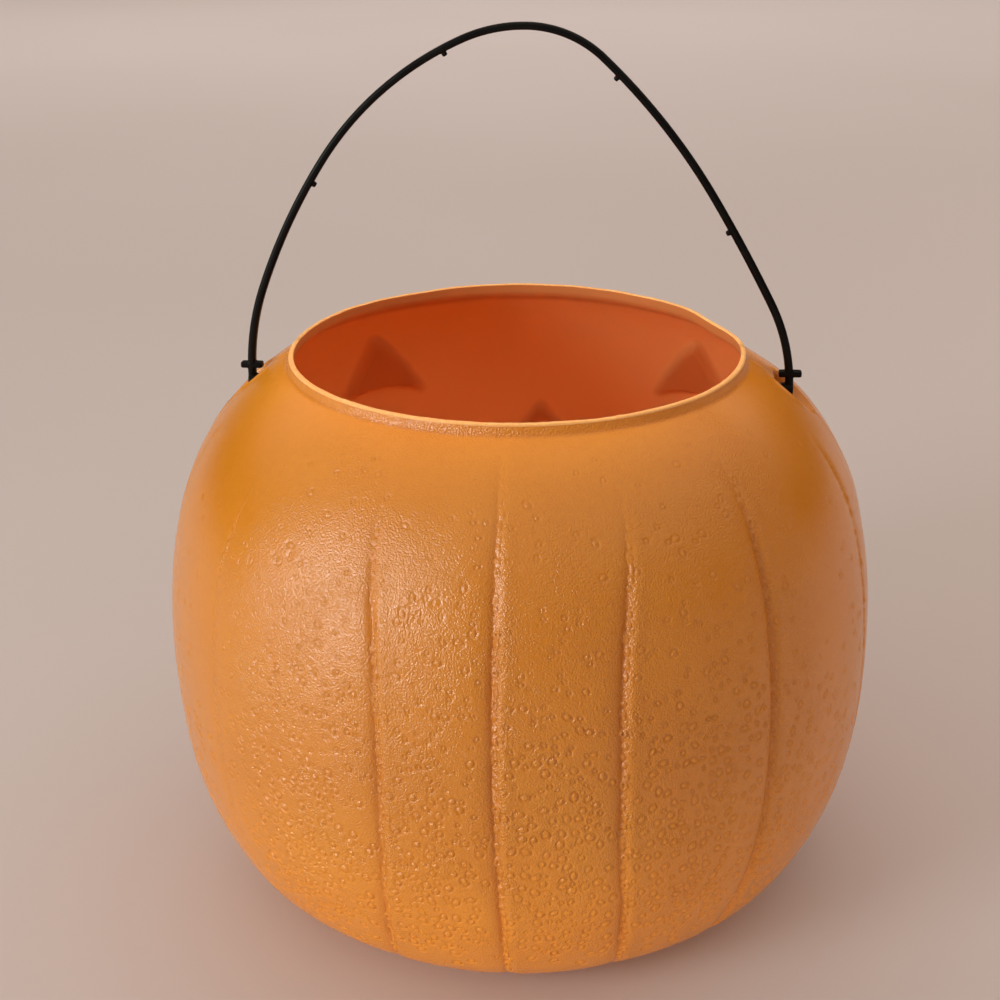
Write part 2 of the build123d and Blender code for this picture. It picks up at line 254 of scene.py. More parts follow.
def relief_of_wall():
    """Outward relief in mm of the outer wall, on the grid of rows and columns, without the carved face and pockets."""
    rng = np.random.default_rng(SEED)
    R, Z = r_w[:, None], z_w[:, None]
    P = np.stack([R * SIN, R * COS, Z + 0 * SIN], -1)
    out = np.zeros((len(r_w), N))
    # slow unevenness of a blown wall
    out += 0.35 * noise3(P / 62.0, 3) + 0.16 * noise3(P / 24.0, 4)
    # where the moulded texture is strong: ribs' middle and lower part, weaker on the shoulder, one flank and the foot
    low = smooth((190 - Z) / 60)
    foot = smooth((Z - 3) / 22)
    flank = 1.0 - 0.80 * smooth((AZ[None, :] - 32) / 22) * smooth((100 - AZ[None, :]) / 20)
    flank = flank - 0.65 * smooth((-AZ[None, :] - 50) / 9) * smooth((104 + AZ[None, :]) / 14)
    rough = (0.60 + 0.40 * low) * (0.25 + 0.75 * foot) * flank
    rough = rough * (0.85 + 0.40 * noise3(P / 15.0, 5))
    # orange peel
    peel = 0.010 * noise3(P / 2.0, 6) + 0.030 * noise3(P / 0.80, 7)
    beside = np.zeros_like(out)
    groove_gap = np.full(out.shape, 99.0)
    grooves = np.zeros_like(out)
    bumps = []
    for k, (path, depth, top, fade) in enumerate(GROOVES):
        zs, az = np.array(path, float).T
        line = bent(z_w, zs, az)
        x = (AZ[None, :] - line[:, None] + 180.0) % 360.0 - 180.0
        x = np.radians(x) * R
        strength = depth * smooth((top - Z) / max(top - fade, 0.1)) * (0.25 * smooth((Z - 0.5) / 6) + 0.75 * smooth((Z - 4) / 34))
        uneven = np.interp(z_w, np.linspace(0, 200, 24), rng.normal(0, 1, 24)).clip(-1.2, 1.2)[:, None]
        strength = strength * (0.95 + 0.10 * uneven)
        # a long slope into the groove on one side and a short one out of it, onto a slight welt
        wide = np.where(x > 0, np.exp(-(np.abs(x) / 3.4) ** 1.6), np.exp(-(np.abs(x) / 2.2) ** 1.8))
        grooves -= strength * (0.60 * wide + 0.40 * np.exp(-(np.abs(x) / 1.15) ** 1.7))
        grooves += strength * 0.10 * np.exp(-((x + 3.6) / 2.0) ** 2)
        beside = np.maximum(beside, np.exp(-((x + 3.2) / 2.8) ** 2) * np.clip(strength, 0, 1))
        groove_gap = np.minimum(groove_gap, np.abs(x) + 6 * (strength < 0.08))
        # beads along it
        s = 14.0
        while s < S_TOP - 8:
            z = float(np.interp(s, S_WALL, z_w))
            amount = min(1.0, 0.10 + 1.1 * depth) * float(smooth((top + 2 - z) / max(top - fade, 4.0))) * float(smooth((z - 6) / 16))
            if amount > 0.15 and rng.random() < 0.90:
                bumps.append((k, s, rng.uniform(-1.15, -0.25), rng.uniform(0.55, 0.85), rng.uniform(0.8, 1.9), amount * rng.uniform(0.42, 0.66)))
            s += rng.uniform(2.4, 4.4)
    out += grooves
    out += peel * (rough + 0.35 * beside)

    def stamp(az0, s0, reach, shape):
        i0 = np.searchsorted(S_WALL, s0 - reach)
        i1 = np.searchsorted(S_WALL, s0 + reach)
        if i1 - i0 < 2:
            return
        r0 = float(np.interp(s0, S_WALL, r_w))
        x = np.radians((AZ - az0 + 180.0) % 360.0 - 180.0) * r0
        cols = np.nonzero(np.abs(x) < reach)[0]
        if len(cols) < 2:
            return
        d = shape(x[cols][None, :], (S_WALL[i0:i1] - s0)[:, None])
        out[i0:i1, cols] += d

    for k, s0, dx, w, l, h in bumps:
        path = np.array(GROOVES[k][0], float)
        z = float(np.interp(s0, S_WALL, z_w))
        r0 = float(np.interp(s0, S_WALL, r_w))
        az0 = float(bent(np.array([z]), path[:, 0], path[:, 1])[0]) + math.degrees(dx / r0)
        open_ring = rng.random() < 0.25

        def bead(x, y, w=w, l=l, h=h, open_ring=open_ring):
            q = np.hypot(x / w, y / l)
            if open_ring:
                return h * np.exp(-((q - 0.9) / 0.42) ** 2) - 0.25 * h * np.exp(-(q / 0.5) ** 2)
            return 0.9 * h * np.exp(-q ** 2.4) - 0.35 * h * np.exp(-((q - 1.45) / 0.40) ** 2)

        stamp(az0, s0, max(w, l) * 2.2 + 0.4, bead)
    # pebbles: small domes, each in a ring-shaped moat, thickest in the lower middle of the ribs
    lines = [np.array(g[0], float) for g in GROOVES]
    made, placed = 0, {}
    for _ in range(48000):
        az0, s0 = rng.uniform(-180, 180), rng.uniform(9, S_TOP - 9)
        z = float(np.interp(s0, S_WALL, z_w))
        r0 = float(np.interp(s0, S_WALL, r_w))
        lot = rng.random()
        size = rng.random()
        if rng.random() > r0 / 127.0:
            continue
        at_z = np.sort([np.interp(z, ln[:, 0], ln[:, 1]) for ln in lines])
        j = np.searchsorted(at_z, az0)
        lo, hi = at_z[j - 1] - (360 if j == 0 else 0), at_z[j % len(at_z)] + (360 if j == len(at_z) else 0)
        t = (az0 - lo) / max(hi - lo, 1e-6)
        edge = min(az0 - lo, hi - az0) * math.pi / 180 * r0
        middle = max(0.0, math.sin(math.pi * t)) ** 1.9
        high = float(smooth((176 - z) / 70))
        foot = float(smooth((z - 18) / 22))
        left = 1.0 - 0.88 * float(smooth((az0 - 34) / 16)) * float(smooth((96 - az0) / 10))
        left = left - 0.86 * float(smooth((-az0 - 48) / 7)) * float(smooth((106 + az0) / 10))
        deep = float(smooth((128 - z) / 60))
        want = foot * left * (0.03 + high * (0.08 + 0.78 * middle * (0.20 + 0.80 * deep)))
        if lot > want or edge < 2.2:
            continue
        # mostly small dots high up, mostly wide pebbles low down
        dot = rng.random() > 0.28 + 0.58 * deep
        big = rng.uniform(0.58, 0.82) if dot else 0.98 + 0.66 * (0.15 + 0.85 * size) * (0.35 + 0.65 * deep)
        key = (int(az0 / 2.4), int(s0 / 5.0))
        close = False
        for da in (-1, 0, 1):
            for ds in (-1, 0, 1):
                for (a1, s1, b1) in placed.get((key[0] + da, key[1] + ds), ()):
                    if math.hypot((a1 - az0) * math.pi / 180 * r0, s1 - s0) < big + b1 + 0.50:
                        close = True
        if close:
            continue
        placed.setdefault(key, []).append((az0, s0, big))
        spread = float(np.interp(az0, fine, gap)) * math.pi / 180 * r0
        wid = max(0.36, 0.62 * spread)
        tall = rng.uniform(0.38, 0.58) * (0.60 + 0.40 * high) * (1.0 if left > 0.9 else 0.6)
        ex, tilt, cup = rng.uniform(0.80, 1.25), rng.uniform(0, math.pi), rng.uniform(0.3, 0.8)

        def ring(x, y, big=big, wid=wid, tall=tall, ex=ex, tilt=tilt, cup=cup, dot=dot):
            u = (x * math.cos(tilt) + y * math.sin(tilt)) * ex
            v = (-x * math.sin(tilt) + y * math.cos(tilt)) / ex
            d = np.hypot(u, v)
            high = tall * (0.42 if dot else 0.34) * np.exp(-(d / (0.70 * big)) ** (2.0 if dot else 3.2))
            return high - tall * (0.62 + 0.30 * cup) * np.exp(-((d - big) / wid) ** 2)

        stamp(az0, s0, big + 2.9 * wid + 0.6, ring)
        made += 1
    # parting line of the two mould halves
    for side in (-90.0, 90.0):
        x = np.radians((AZ - side + 180.0) % 360.0 - 180.0)[None, :] * R
        out += 0.22 * np.exp(-(x / 0.45) ** 2) * smooth((Z - 4) / 6)
        out += 0.10 * smooth((x + 1.2) / 2.4) * np.exp(-(x / 9.0) ** 2)
    return out, groove_gap, np.clip(rough + 0.3 * beside, 0.0, 1.5), made


relief, groove_gap, peel_amount, ring_count = relief_of_wall()
# the texture runs out towards the collar and the foot
relief *= (smooth((S_END - S_WALL) / 2.2) * smooth(S_WALL / 9.0))[:, None]


def grid_points(r, z, cols):
    r, z = np.atleast_1d(r), np.atleast_1d(z)
    return np.stack([r[:, None] * SIN[cols], r[:, None] * COS[cols], z[:, None] + 0 * SIN[cols]], -1)


def rim_bend(az):
    """Inward bend of the thin rim, in mm, by direction."""
    a = np.asarray(az)

    def near(c, w):
        return np.exp(-(((a - c + 180.0) % 360.0 - 180.0) / w) ** 2)

    return (3.3 * near(-114.0, 13.0) + 1.7 * near(-143.0, 17.0) - 0.8 * near(-48.0, 26.0) + 0.6 * near(22.0, 34.0)
            - 0.6 * near(172.0, 14.0) - 0.5 * near(123.0, 10.0) + 0.6 * near(146.0, 8.0))


def bend_rim(P, cols):
    """Bends the collar and the edge of the shoulder."""
    w = smooth((P[..., 2] - 175.0) / 19.0)
    b = rim_bend(AZ[cols]) * w
    P[..., 0] -= b * SIN[cols]
    P[..., 1] -= b * COS[cols]


def carve(P, n, cols, inside):
    """Presses the face and the handle pockets into a grid of points P with outward normals n."""
    union = None
    for grid in FACE.values():
        d = face_distance(P[..., 0], P[..., 1], P[..., 2], grid)
        union = d if union is None else np.minimum(union, d)
    if inside:
        w = smooth((2.0 - union) / 2.8)
    else:
        w = smooth((0.55 - union) / 1.5)
    Q = P - n * (FACE_DEPTH * w)[..., None]
    rho = np.hypot(P[..., 1], P[..., 2] - PIVOT_Z)
    wall, radius = (POCKET_X - WALL, POCKET_R + WALL) if inside else (POCKET_X, POCKET_R)
    p = smooth((radius + 0.75 - rho) / 1.5)
    over = np.maximum(0.0, np.abs(P[..., 0]) - wall)
    # a soft lip where the flat wall meets the shoulder
    over = np.sqrt(over * over + 0.16) - 0.4
    Q[..., 0] -= np.sign(P[..., 0]) * p * np.maximum(over, 0.0)
    # a slight roll round the pocket's mouth
    roll = np.exp(-((rho - radius - 1.3) / 1.1) ** 2) * smooth((np.abs(P[..., 0]) - wall + 3.0) / 4.0) * smooth((P[..., 2] - PIVOT_Z + 5.0) / 6.0)
    Q += n * ((0.05 if inside else 0.42) * roll)[..., None]
    return Q, union, p


ALL, HALF, QUART = np.arange(N), np.arange(0, N, 2), np.arange(0, N, 4)
P_wall = grid_points(r_w, z_w, ALL)
n_wall = np.stack([nr_w[:, None] * SIN, nr_w[:, None] * COS, nz_w[:, None] + 0 * SIN], -1)
bend_rim(P_wall, ALL)
plain = P_wall.copy()
Q_wall, face_gap, pocket = carve(P_wall, n_wall, ALL, False)
keep = smooth((face_gap - 0.2) / 1.6) * (1 - pocket)
soft_keep = smooth((face_gap - 0.4) / 7.0)
relief = relief * keep * np.where(groove_gap < 8, 0.35 + 0.65 * soft_keep, 1.0)
# a little texture stays on the carved floor
some = (keep < 1.0) & (pocket < 1.0)
floor_noise = np.zeros(keep.shape)
floor_noise[some] = 0.05 * noise3(P_wall[some] / 3.2, 12) + 0.12 * noise3(P_wall[some] / 17.0, 13)
Q_wall += n_wall * (relief + floor_noise * (1 - keep) * (1 - pocket))[..., None]

# ------------------------------------------------------------------ shell: every row from the base's middle to the inside's middle
rows = []                      # (points, columns, material, relief)


def add_rows(P, cols, mat, painted_shade=None):
    for k in range(len(P)):
        rows.append((P[k], cols, mat, np.zeros(len(cols)) if painted_shade is None else painted_shade[k]))


def rounded(points, radius, n=4):
    """A polyline with its corners rounded by quadratic curves."""
    out = [points[0]]
    for a, b, c in zip(points, points[1:], points[2:]):
        a, b, c = np.array(a), np.array(b), np.array(c)
        la, lc = np.linalg.norm(a - b), np.linalg.norm(c - b)
        p, q = b + (a - b) * min(radius / la, 0.45), b + (c - b) * min(radius / lc, 0.45)
        for t in np.linspace(0, 1, n + 1):
            out.append(tuple((1 - t) ** 2 * p + 2 * t * (1 - t) * b + t * t * q))
    out.append(points[-1])
    return out


def spaced(points, step):
    """Points no further apart than step."""
    out = [points[0]]
    for a, b in zip(points, points[1:]):
        m = max(1, int(math.ceil(math.hypot(b[0] - a[0], b[1] - a[1]) / step)))
        out += [(a[0] + (b[0] - a[0]) * i / m, a[1] + (b[1] - a[1]) * i / m) for i in range(1, m + 1)]
    return np.array(out)


# underside, from the middle out: pushed-up disc, step, standing ring
under = spaced(rounded([(1.2, PUSH_UP_Z), (PUSH_UP_R, PUSH_UP_Z), (STAND_INNER_R, 0.0), (STAND_R - 2.8, 0.0)], 2.2), 1.6)
P_under = grid_points(under[:, 0], under[:, 1], QUART)
seam = np.exp(-(P_under[..., 1] / 0.8) ** 2) * smooth((PUSH_UP_R - 2 - np.abs(P_under[..., 0])) / 6)
P_under[..., 2] += -0.75 * seam + (0.12 * noise3(P_under / 7.0, 21) + 0.25 * noise3(P_under / 31.0, 22)) * smooth((PUSH_UP_R + 4 - under[:, 0]) / 8)[:, None]
add_rows(P_under, QUART, 0)
ring_half = grid_points(np.array([STAND_R - 1.9, STAND_R - 1.0]), np.array([0.0, 0.0]), HALF)
add_rows(ring_half, HALF, 0)
first_wall = len(rows)
# the wall's relief also sets its painted shade: the lower the relief, the darker the orange
add_rows(Q_wall, ALL, 0, relief)
last_wall = len(rows) - 1

# collar with a soft crease at its foot, then the trimmed edge
end_r, end_z, _ = along(outer, np.array([S_TOP]))
corner = along(outer, np.array([S_END]))
collar = rounded([(end_r[0], end_z[0]), (corner[0][0], corner[1][0]), (RIM_R + 0.02, RIM_Z - 0.85)], 1.3, 5)[1:]
lip = [(RIM_R + 0.02, RIM_Z - 0.62), (RIM_R - 0.06, RIM_Z - 0.28), (RIM_R - 0.26, RIM_Z - 0.05), (RIM_R - 0.65, RIM_Z), (RIM_R - 1.15, RIM_Z),
       (RIM_R - 1.55, RIM_Z - 0.05), (RIM_R - 1.72, RIM_Z - 0.25)]
col = spaced(collar, 0.5)
P_col = grid_points(col[:, 0], col[:, 1], ALL)
grain = 0.05 * noise3(P_col / 1.3, 31) + 0.05 * noise3(P_col / 3.1, 32)
left_side = 0.5 + 0.9 * np.exp(-((AZ - 38.0) / 30.0) ** 2)
grain *= left_side * smooth((RIM_Z - 0.4 - P_col[..., 2]) / 0.8)
P_col[..., 0] += grain * SIN
P_col[..., 1] += grain * COS
bend_rim(P_col, ALL)
# painted shade in the crease at the collar's foot, darkening the orange there
crease_shade = -1.7 * np.exp(-((np.arange(1, len(col)) - 2.0) / 1.6) ** 2)[:, None] * np.ones(N)
add_rows(P_col[1:], ALL, 0, crease_shade)
lip = np.array(lip)
P_lip = grid_points(lip[:, 0], lip[:, 1], ALL)
ragged = 0.10 * noise3(P_lip / 2.1, 33) + 0.18 * noise3(P_lip / 11.0, 34)
P_lip[..., 2] += ragged * np.array([0.2, 0.7, 1, 1, 1, 1, 0.4])[:, None] - 0.1
bend_rim(P_lip, ALL)
add_rows(P_lip, ALL, 2)
last_lip = len(rows) - 1

# inside, from the lip down
s_in = np.concatenate([np.arange(S_END - 2.0, S_END - 60.0, -0.9), np.arange(S_END - 60.0, 2.0, -1.5), [1.0]])
r_i, z_i, h_i = along(outer, s_in, WALL)
top_in = np.array([(RIM_R - WALL - 0.2, RIM_Z - 0.6), (RIM_R - WALL - 0.08, RIM_Z - 1.6), (RIM_R - WALL + 0.05, RIM_Z - 2.8), (RIM_R - WALL + 0.25, RIM_Z - 3.9)])
okay = z_i < RIM_Z - 4.9
r_i, z_i, h_i, s_in = r_i[okay], z_i[okay], h_i[okay], s_in[okay]
r_a, z_a = np.concatenate([top_in[:, 0], r_i]), np.concatenate([top_in[:, 1], z_i])
h_a = np.concatenate([np.full(len(top_in), math.radians(100.0)), h_i])
P_in = grid_points(r_a, z_a, HALF)
n_in = np.stack([np.sin(h_a)[:, None] * SIN[HALF], np.sin(h_a)[:, None] * COS[HALF], -np.cos(h_a)[:, None] + 0 * SIN[HALF]], -1)
bend_rim(P_in, HALF)
Q_in, face_in, pocket_in = carve(P_in, n_in, HALF, True)
# the inside repeats the grooves softly
soft = np.zeros(P_in.shape[:2])
for path, depth, top, fade in GROOVES:
    zs, az = np.array(path, float).T
    x = np.radians((AZ[HALF][None, :] - np.interp(z_a, zs, az)[:, None] + 180.0) % 360.0 - 180.0) * r_a[:, None]
    soft -= 0.14 * depth * smooth((top - z_a) / max(top - fade, 0.1))[:, None] * smooth((z_a - 1) / 12)[:, None] * np.exp(-(x / 3.6) ** 2)
soft *= smooth(face_in / 6.0) * (1 - pocket_in)
soft += 0.16 * noise3(P_in / 33.0, 41) + 0.03 * noise3(P_in / 9.0, 42) - 0.1
Q_in += n_in * (soft * smooth((RIM_Z - 1.0 - z_a) / 6.0)[:, None])[..., None]
# painted shade on the top of the inside, just under the lip
collar_in_shade = (3.0 - 3.3 * smooth((z_a - (RIM_Z - 9.5)) / 4.0))[:, None]      # the thick collar passes less light
add_rows(Q_in, HALF, 1, np.minimum(np.clip(face_in, -5, 20), np.where(collar_in_shade < 2.99, collar_in_shade, 20.0)))
last_in = len(rows) - 1
floor_in = spaced(rounded([(STAND_R - 0.3, WALL), (STAND_INNER_R + 0.8, WALL), (PUSH_UP_R + 0.8, PUSH_UP_Z + WALL), (1.2, PUSH_UP_Z + WALL)], 3.0), 2.4)
P_floor = grid_points(floor_in[:, 0], floor_in[:, 1], QUART)
P_floor[..., 2] += (0.10 * noise3(P_floor / 9.0, 43) + 0.2 * noise3(P_floor / 33.0, 44)) * smooth((PUSH_UP_R + 6 - floor_in[:, 0]) / 10)[:, None]
add_rows(P_floor, QUART, 1, np.full((len(floor_in), len(QUART)), 20.0))

# lengths along the section, for the map
mid = [0.5 * (np.hypot(r[0][:, 0], r[0][:, 1]).mean()) for r in rows]
sec = np.array([[np.hypot(r[0][0, 0], r[0][0, 1]), r[0][0, 2]] for r in rows])
sec[first_wall:last_wall + 1] = np.stack([r_w, z_w], -1)
LEN = np.concatenate([[0.0], np.cumsum(np.hypot(*np.diff(sec, axis=0).T))])
first_index = np.concatenate([[0], np.cumsum([len(r[1]) for r in rows])])
VERTS = np.concatenate([r[0] for r in rows])
PAINTED_SHADE = np.concatenate([r[3] for r in rows])
pole_a, pole_b = len(VERTS), len(VERTS) + 1
VERTS = np.concatenate([VERTS, [[0, 0, PUSH_UP_Z], [0, 0, PUSH_UP_Z + WALL]]])
PAINTED_SHADE = np.concatenate([PAINTED_SHADE, [0.0, 20.0]])
PEEL = np.full(len(VERTS), 0.35)
PEEL[first_index[last_wall + 1]:first_index[last_wall + len(P_col)]] = 0.9
PEEL[first_index[first_wall]:first_index[last_wall + 1]] = (peel_amount * (0.3 + 0.7 * keep)).reshape(-1)

CHARTS = {"wall": (0.665, 0.992), "inside": (0.325, 0.650)}
edge_a, edge_b = LEN[first_wall], LEN[last_lip]
end_in = LEN[last_in]


def chart_uv(chart, k, turn):
    """Place in the map of points on row k (None is a pole) at fractions of a turn."""
    turn = np.asarray(turn, float)
    if chart == "wall":
        lo, hi = CHARTS["wall"]
        return np.stack([0.004 + 0.992 * turn, np.full(turn.shape, lo + (hi - lo) * (LEN[k] - edge_a) / (edge_b - edge_a))], -1)
    if chart == "inside":
        lo, hi = CHARTS["inside"]
        return np.stack([0.004 + 0.992 * turn, np.full(turn.shape, hi - (hi - lo) * (LEN[k] - edge_b) / (end_in - edge_b))], -1)
    if chart == "under":
        c, q = (0.16, 0.16), 0.0 if k is None else 0.15 * (LEN[k] + 1.2) / (LEN[first_wall] + 1.2)
    else:
        c, q = (0.50, 0.16), 0.0 if k is None else 0.15 * (LEN[-1] - LEN[k] + 1.2) / (LEN[-1] - end_in + 1.2)
    a = 2 * math.pi * turn
    return np.stack([c[0] + q * np.cos(a), c[1] + q * np.sin(a)], -1)


loops, counts, uvs, mats = [], [], [], []


def faces(ids, uv, mat):
    """Adds faces as an array of vertex numbers (n, corners) with their map places (n, corners, 2)."""
    loops.append(ids.reshape(-1))
    counts.append(np.full(len(ids), ids.shape[1]))
    uvs.append(uv.reshape(-1, 2))
    mats.append(np.full(len(ids), mat))


def strip(k, chart, mat):
    ca, cb = rows[k][1], rows[k + 1][1]
    a0, b0 = first_index[k], first_index[k + 1]
    na, nb = len(ca), len(cb)
    if na == nb:
        i = np.arange(na)
        j = (i + 1) % na
        t0 = TURN[ca]
        t1 = np.where(j == 0, 1.0, TURN[ca][j])
        ids = np.stack([a0 + i, b0 + i, b0 + j, a0 + j], 1)
        uv = np.stack([chart_uv(chart, k, t0), chart_uv(chart, k + 1, t0), chart_uv(chart, k + 1, t1), chart_uv(chart, k, t1)], 1)
        faces(ids, uv, mat)
        return
    wide_first = na > nb
    kf, kc = (k, k + 1) if wide_first else (k + 1, k)
    f0, c0 = (a0, b0) if wide_first else (b0, a0)
    nf, nc = max(na, nb), min(na, nb)
    tf = TURN[rows[kf][1]]
    i = np.arange(nc)
    j = (i + 1) % nc
    p, q, s = 2 * i, 2 * i + 1, (2 * i + 2) % nf
    tp, tq = tf[p], tf[q]
    ts = np.where(s == 0, 1.0, tf[s])
    U = lambda row, t: chart_uv(chart, row, t)
    for ids, uv in (
        ([f0 + p, c0 + i, f0 + q], [U(kf, tp), U(kc, tp), U(kf, tq)]),
        ([f0 + q, c0 + i, c0 + j], [U(kf, tq), U(kc, tp), U(kc, ts)]),
        ([f0 + q, c0 + j, f0 + s], [U(kf, tq), U(kc, ts), U(kf, ts)]),
    ):
        ids, uv = np.stack(ids, 1), np.stack(uv, 1)
        if not wide_first:
            ids, uv = ids[:, ::-1], uv[:, ::-1]
        faces(ids, uv, mat)


for k in range(len(rows) - 1):
    if k < first_wall:
        strip(k, "under", 0)
    elif k < last_wall + len(P_col) - 1:
        strip(k, "wall", 0)
    elif k < last_lip:
        strip(k, "wall", 2)
    elif k < last_in:
        strip(k, "inside", 1)
    else:
        strip(k, "floor", 1)
for pole, k, chart, mat, flip in ((pole_a, 0, "under", 0, False), (pole_b, len(rows) - 1, "floor", 1, True)):
    c = rows[k][1]
    i = np.arange(len(c))
    j = (i + 1) % len(c)
    t0, t1 = TURN[c], np.where(j == 0, 1.0, TURN[c][j])
    ids = np.stack([np.full(len(c), pole), first_index[k] + i, first_index[k] + j], 1)
    uv = np.stack([chart_uv(chart, None, t0), chart_uv(chart, k, t0), chart_uv(chart, k, t1)], 1)
    if flip:
        ids, uv = ids[:, ::-1], uv[:, ::-1]
    faces(ids, uv, mat)


def make_mesh(name, verts, loop_ids, face_counts, uv=None):
    me = bpy.data.meshes.new(name)
    verts = np.asarray(verts, np.float32) * MM
    me.vertices.add(len(verts))
    me.vertices.foreach_set("co", verts.reshape(-1))
    me.loops.add(len(loop_ids))
    me.loops.foreach_set("vertex_index", np.asarray(loop_ids, np.int32))
    me.polygons.add(len(face_counts))
    starts = np.concatenate([[0], np.cumsum(face_counts)[:-1]]).astype(np.int32)
    me.polygons.foreach_set("loop_start", starts)
    me.update(calc_edges=True)
    me.validate()
    me.polygons.foreach_set("use_smooth", np.ones(len(me.polygons), bool))
    if uv is not None:
        layer = me.uv_layers.new(name="OFBake")
        layer.data.foreach_set("uv", np.asarray(uv, np.float32).reshape(-1))
    ob = bpy.data.objects.new(name, me)
    bpy.context.scene.collection.objects.link(ob)
    return ob


shell = make_mesh("pail_body", VERTS, np.concatenate(loops), np.concatenate(counts), np.concatenate(uvs))
# per-point amount of painted shade, read by both orange materials
layer = shell.data.attributes.new("painted_shade", "FLOAT", "POINT")
layer.data.foreach_set("value", PAINTED_SHADE.astype(np.float32))
layer = shell.data.attributes.new("peel", "FLOAT", "POINT")
layer.data.foreach_set("value", PEEL.astype(np.float32))
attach(shell, "pail")
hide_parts("pail_shell")


# ------------------------------------------------------------------ paint films, cut from the carved part of the same grid
def film(name, grid, edge, thick):
    d = face_distance(plain[..., 0], plain[..., 1], plain[..., 2], grid)
    near = np.abs(d) < 3.0
    d[near] += 0.16 * noise3(plain[near] / 2.6, 51) + 0.10 * noise3(plain[near] / 0.9, 52)
    d = d - edge
    inside = d < 0
    r_ok = np.nonzero(inside.any(1))[0]
    r0, r1 = r_ok[0] - 1, r_ok[-1] + 2
    # normals of the carved surface
    du = np.roll(Q_wall, -1, 1) - np.roll(Q_wall, 1, 1)
    dv = np.gradient(Q_wall, axis=0)
    nn = np.cross(du[r0:r1], dv[r0:r1])
    nn /= np.linalg.norm(nn, axis=-1, keepdims=True)
    nn *= np.sign((nn * n_wall[r0:r1]).sum(-1, keepdims=True))
    Q, d, inside = Q_wall[r0:r1], d[r0:r1], inside[r0:r1]
    rows_n = r1 - r0
    pts, nrm, index, polys = [], [], {}, []

    def grid_vertex(k, i):
        key = (k, i)
        if key not in index:
            index[key] = len(pts)
            pts.append(Q[k, i])
            nrm.append(nn[k, i])
        return index[key]

    def edge_vertex(a, b):
        key = (a, b) if a < b else (b, a)
        if key not in index:
            a, b = key
            t = d[a] / (d[a] - d[b])
            index[key] = len(pts)
            pts.append(Q[a] * (1 - t) + Q[b] * t)
            v = nn[a] * (1 - t) + nn[b] * t
            nrm.append(v / np.linalg.norm(v))
        return index[key]

    nxt = np.roll(inside, -1, 1)
    some = inside[:-1] | inside[1:] | nxt[:-1] | nxt[1:]
    for k, i in zip(*np.nonzero(some)):
        j = (i + 1) % N
        ring = [(k, i), (k + 1, i), (k + 1, j), (k, j)]
        poly = []
        for a, b in zip(ring, ring[1:] + ring[:1]):
            if inside[a]:
                poly.append(grid_vertex(*a))
            if inside[a] != inside[b]:
                poly.append(edge_vertex(a, b))
        if len(poly) > 2:
            polys.append(poly)
    pts, nrm = np.array(pts), np.array(nrm)
    n = len(pts)
    # the film's edge is closed by a side wall between its top and bottom faces
    seen = {}
    for poly in polys:
        for a, b in zip(poly, poly[1:] + poly[:1]):
            seen[(a, b)] = True
    rim = [(a, b) for (a, b) in seen if (b, a) not in seen]
    top = pts + nrm * thick
    low = pts - nrm * 0.10
    faces_all = list(polys) + [[v + n for v in reversed(p)] for p in polys] + [[b, a, a + n, b + n] for a, b in rim]
    ids = np.concatenate([np.array(p) for p in faces_all])
    cnt = np.array([len(p) for p in faces_all])
    both = np.concatenate([top, low])
    ob = make_mesh(name, both, ids, cnt)
    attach(ob, "pail")
    return ob


films = []
for node, grid in FACE.items():
    ob = film(node.replace("_paint", "_black"), grid, 0.05, 0.13)
    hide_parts(node)
    films.append(ob)


# ------------------------------------------------------------------ handle
def section(w, d, r, n=6):
    """Rounded rectangle, w by d, as points."""
    out = []
    for cx, cy, a in ((w / 2 - r, d / 2 - r, 0), (-w / 2 + r, d / 2 - r, 90), (-w / 2 + r, -d / 2 + r, 180), (w / 2 - r, -d / 2 + r, 270)):
        for i in range(n + 1):
            t = math.radians(a + 90.0 * i / n)
            out.append((cx + r * math.cos(t), cy + r * math.sin(t)))
    return np.array(out)


H_verts, H_faces = [], []


def loft(rings):
    """Closed solid through rings of points, all the same length."""
    base = sum(len(v) for v in H_verts)
    m = len(rings[0])
    for ring in rings:
        H_verts.append(np.asarray(ring))
    for k in range(len(rings) - 1):
        for i in range(m):
            j = (i + 1) % m
            H_faces.append([base + k * m + i, base + k * m + j, base + (k + 1) * m + j, base + (k + 1) * m + i])
    H_faces.append([base + i for i in reversed(range(m))])
    H_faces.append([base + (len(rings) - 1) * m + i for i in range(m)])


h_segs, H_LEN = chain((STRAP_X, PIVOT_Z), 90.0, HANDLE_ARCS)
s_h = np.linspace(0.0, H_LEN, 620)
hx, hz, hh = along(h_segs, s_h)
flat = section(STRAP_T, STRAP_D, STRAP_ROUND)
rings = []
sway = 0.10 * np.sin(s_h / 23.0) + 0.06 * np.sin(s_h / 9.1)
swell = 1.0 + 0.07 * np.cos(2 * math.pi * s_h / H_LEN)        # a little thicker at the legs than at the top
for x, z, h, w, f in zip(hx, hz, hh, sway, swell):
    out_x, out_z = math.sin(h), -math.cos(h)          # away from the arch's middle
    rings.append([(x + out_x * p * f, q + w, z + out_z * p * f) for p, q in flat])
loft(rings)
leg = {1: STRAP_X, -1: -hx[-1]}


def turned(side, steps, m=28):
    """Solid of revolution about the pivot: steps are (distance from the middle plane, radius)."""
    rings = []
    for x, r in steps:
        rings.append([(side * x, r * math.cos(2 * math.pi * i / m), PIVOT_Z + side * r * math.sin(2 * math.pi * i / m)) for i in range(m)])
    loft(rings)


